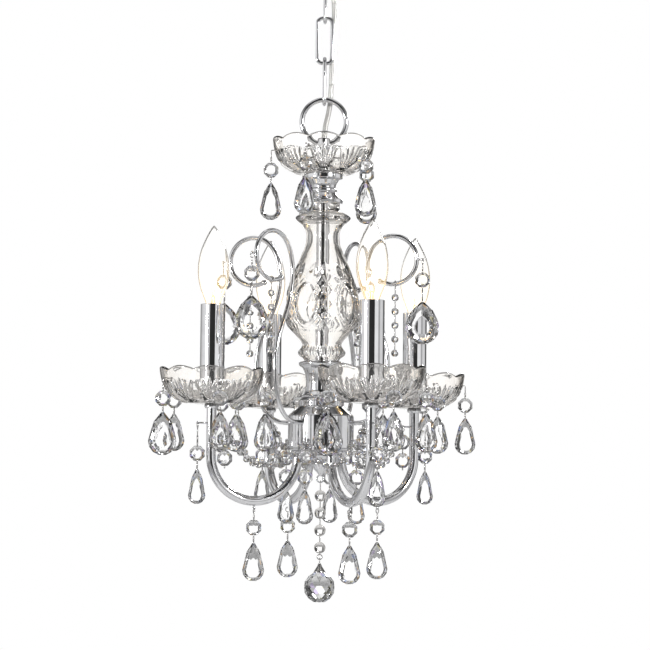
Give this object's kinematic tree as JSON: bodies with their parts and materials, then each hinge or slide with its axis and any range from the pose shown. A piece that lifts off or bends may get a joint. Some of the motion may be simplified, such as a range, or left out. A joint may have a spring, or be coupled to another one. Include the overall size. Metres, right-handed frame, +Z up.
{
  "type": "mini chandelier",
  "caption": "Small crystal chandelier hung by a short chain from a ceiling canopy, with candle arms, glass dishes, scrolls and hanging cut crystals.",
  "frame": {"origin": "middle of the mounting strap's two screw holes, in the plane of the ceiling", "axes": "+Z up towards the ceiling, -Y the front of the fixture, +X to the right of someone who faces it"},
  "size_m": [0.3178, 0.304, 0.6623],
  "materials": {
    "chrome": "polished chrome plate",
    "plated_steel": "zinc plated",
    "clear_glass": "pressed clear glass",
    "cut_crystal": "cut and polished crystal",
    "bulb_glass": "clear lamp glass",
    "socket_plastic": "moulded",
    "cord_vinyl": "clear silver lamp cord"
  },
  "bodies": {
    "ceiling": {"mounting_strap": "plated_steel", "canopy": "chrome", "canopy_nipple": "plated_steel", "canopy_loop": "chrome", "supply_cord": "cord_vinyl"},
    "link_1": {"chain_link_1": "chrome"},
    "link_2": {"chain_link_2": "chrome"},
    "link_3": {"chain_link_3": "chrome"},
    "fixture": {"arm_1": "chrome", "arm_2": "chrome", "arm_3": "chrome", "arm_4": "chrome", "arm_crystals_1": "cut_crystal", "arm_crystals_2": "cut_crystal", "arm_crystals_3": "cut_crystal", "arm_crystals_4": "cut_crystal", "arm_dish_1": "clear_glass", "arm_dish_2": "clear_glass", "arm_dish_3": "clear_glass", "arm_dish_4": "clear_glass", "bead_strands": "cut_crystal", "bottom_finial": "chrome", "candle_sleeve_1": "chrome", "candle_sleeve_2": "chrome", "candle_sleeve_3": "chrome", "candle_sleeve_4": "chrome", "centre_rod": "plated_steel", "centre_tube": "chrome", "glass_body": "clear_glass", "hub_cap": "chrome", "hub_collar": "chrome", "hub_shell": "chrome", "lamp_sockets": "socket_plastic", "scroll_1": "chrome", "scroll_2": "chrome", "scroll_3": "chrome", "scroll_4": "chrome", "spool_neck": "chrome", "stem_coupling": "chrome", "top_loop": "chrome", "upper_dish": "clear_glass"},
    "bulb_1": {"bulb_1": "bulb_glass"},
    "bulb_2": {"bulb_2": "bulb_glass"},
    "bulb_3": {"bulb_3": "bulb_glass"},
    "bulb_4": {"bulb_4": "bulb_glass"},
    "upper_drop_1": {"upper_drop_1": "cut_crystal"},
    "upper_drop_2": {"upper_drop_2": "cut_crystal"},
    "upper_drop_3": {"upper_drop_3": "cut_crystal"},
    "upper_drop_4": {"upper_drop_4": "cut_crystal"},
    "upper_drop_5": {"upper_drop_5": "cut_crystal"},
    "arm_drop_1": {"arm_drop_1": "cut_crystal"},
    "arm_drop_2": {"arm_drop_2": "cut_crystal"},
    "arm_drop_3": {"arm_drop_3": "cut_crystal"},
    "arm_drop_4": {"arm_drop_4": "cut_crystal"},
    "scroll_drop_1": {"scroll_drop_1": "cut_crystal"},
    "scroll_drop_2": {"scroll_drop_2": "cut_crystal"},
    "scroll_drop_3": {"scroll_drop_3": "cut_crystal"},
    "scroll_drop_4": {"scroll_drop_4": "cut_crystal"},
    "bead_string": {"bead_string": "cut_crystal"},
    "crystal_ball": {"crystal_ball": "cut_crystal"}
  },
  "joints": [
    {"name": "chain_swing_1", "type": "hinge", "parent": "ceiling", "child": "link_1", "pos_m": [0, 0, -0.0539], "axis": [1, 0, 0], "range_deg": [-20, 20]},
    {"name": "chain_swing_2", "type": "hinge", "parent": "link_1", "child": "link_2", "pos_m": [0, 0, -0.09455], "axis": [0, 1, 0], "range_deg": [-20, 20]},
    {"name": "chain_swing_3", "type": "hinge", "parent": "link_2", "child": "link_3", "pos_m": [0, 0, -0.13545], "axis": [1, 0, 0], "range_deg": [-20, 20]},
    {"name": "fixture_swing", "type": "hinge", "parent": "link_3", "child": "fixture", "pos_m": [0, 0, -0.17635], "axis": [0, 1, 0], "range_deg": [-20, 20], "deforming": ["supply_cord"]},
    {"name": "bulb_1_unscrew", "type": "slide", "parent": "fixture", "child": "bulb_1", "axis": [0, 0, 1], "range_m": [0, 0.028]},
    {"name": "bulb_2_unscrew", "type": "slide", "parent": "fixture", "child": "bulb_2", "axis": [0, 0, 1], "range_m": [0, 0.028]},
    {"name": "bulb_3_unscrew", "type": "slide", "parent": "fixture", "child": "bulb_3", "axis": [0, 0, 1], "range_m": [0, 0.028]},
    {"name": "bulb_4_unscrew", "type": "slide", "parent": "fixture", "child": "bulb_4", "axis": [0, 0, 1], "range_m": [0, 0.028]},
    {"name": "upper_drop_1_swing", "type": "hinge", "parent": "fixture", "child": "upper_drop_1", "pos_m": [-0.04827, 0.00169, -0.22205], "axis": [-0.0349, -0.9994, 0], "range_deg": [-25, 8]},
    {"name": "upper_drop_2_swing", "type": "hinge", "parent": "fixture", "child": "upper_drop_2", "pos_m": [-0.01652, -0.04539, -0.22205], "axis": [0.9397, -0.342, 0], "range_deg": [-25, 8]},
    {"name": "upper_drop_3_swing", "type": "hinge", "parent": "fixture", "child": "upper_drop_3", "pos_m": [0.03806, -0.02974, -0.22205], "axis": [0.6157, 0.788, 0], "range_deg": [-25, 8]},
    {"name": "upper_drop_4_swing", "type": "hinge", "parent": "fixture", "child": "upper_drop_4", "pos_m": [0.04004, 0.02701, -0.22205], "axis": [-0.5592, 0.829, 0], "range_deg": [-25, 8]},
    {"name": "upper_drop_5_swing", "type": "hinge", "parent": "fixture", "child": "upper_drop_5", "pos_m": [-0.01331, 0.04643, -0.22205], "axis": [-0.9613, -0.2756, 0], "range_deg": [-25, 8]},
    {"name": "arm_drop_1_swing", "type": "hinge", "parent": "fixture", "child": "arm_drop_1", "pos_m": [0.0281, -0.06027, -0.57225], "axis": [0.9063, 0.4226, 0], "range_deg": [-30, 10]},
    {"name": "arm_drop_2_swing", "type": "hinge", "parent": "fixture", "child": "arm_drop_2", "pos_m": [0.0564, 0.03524, -0.57225], "axis": [-0.5299, 0.848, 0], "range_deg": [-30, 10]},
    {"name": "arm_drop_3_swing", "type": "hinge", "parent": "fixture", "child": "arm_drop_3", "pos_m": [-0.03224, 0.05816, -0.57225], "axis": [-0.8746, -0.4848, 0], "range_deg": [-30, 10]},
    {"name": "arm_drop_4_swing", "type": "hinge", "parent": "fixture", "child": "arm_drop_4", "pos_m": [-0.06359, -0.01944, -0.57225], "axis": [0.2924, -0.9563, 0], "range_deg": [-30, 10]},
    {"name": "scroll_drop_1_swing", "type": "hinge", "parent": "fixture", "child": "scroll_drop_1", "pos_m": [-0.06645, -0.07379, -0.33095], "axis": [0.7431, -0.6691, 0], "range_deg": [-30, 4]},
    {"name": "scroll_drop_2_swing", "type": "hinge", "parent": "fixture", "child": "scroll_drop_2", "pos_m": [0.09675, -0.02234, -0.33095], "axis": [0.225, 0.9744, 0], "range_deg": [-30, 4]},
    {"name": "scroll_drop_3_swing", "type": "hinge", "parent": "fixture", "child": "scroll_drop_3", "pos_m": [0.04814, 0.08685, -0.33095], "axis": [-0.8746, 0.4848, 0], "range_deg": [-30, 4]},
    {"name": "scroll_drop_4_swing", "type": "hinge", "parent": "fixture", "child": "scroll_drop_4", "pos_m": [-0.09675, 0.02234, -0.33095], "axis": [-0.225, -0.9744, 0], "range_deg": [-30, 4]},
    {"name": "bead_string_swing", "type": "hinge", "parent": "fixture", "child": "bead_string", "pos_m": [0, 0, -0.54715], "axis": [1, 0, 0], "range_deg": [-12, 12]},
    {"name": "ball_swing", "type": "hinge", "parent": "bead_string", "child": "crystal_ball", "pos_m": [0, 0, -0.6216], "axis": [1, 0, 0], "range_deg": [-15, 15]}
  ]
}
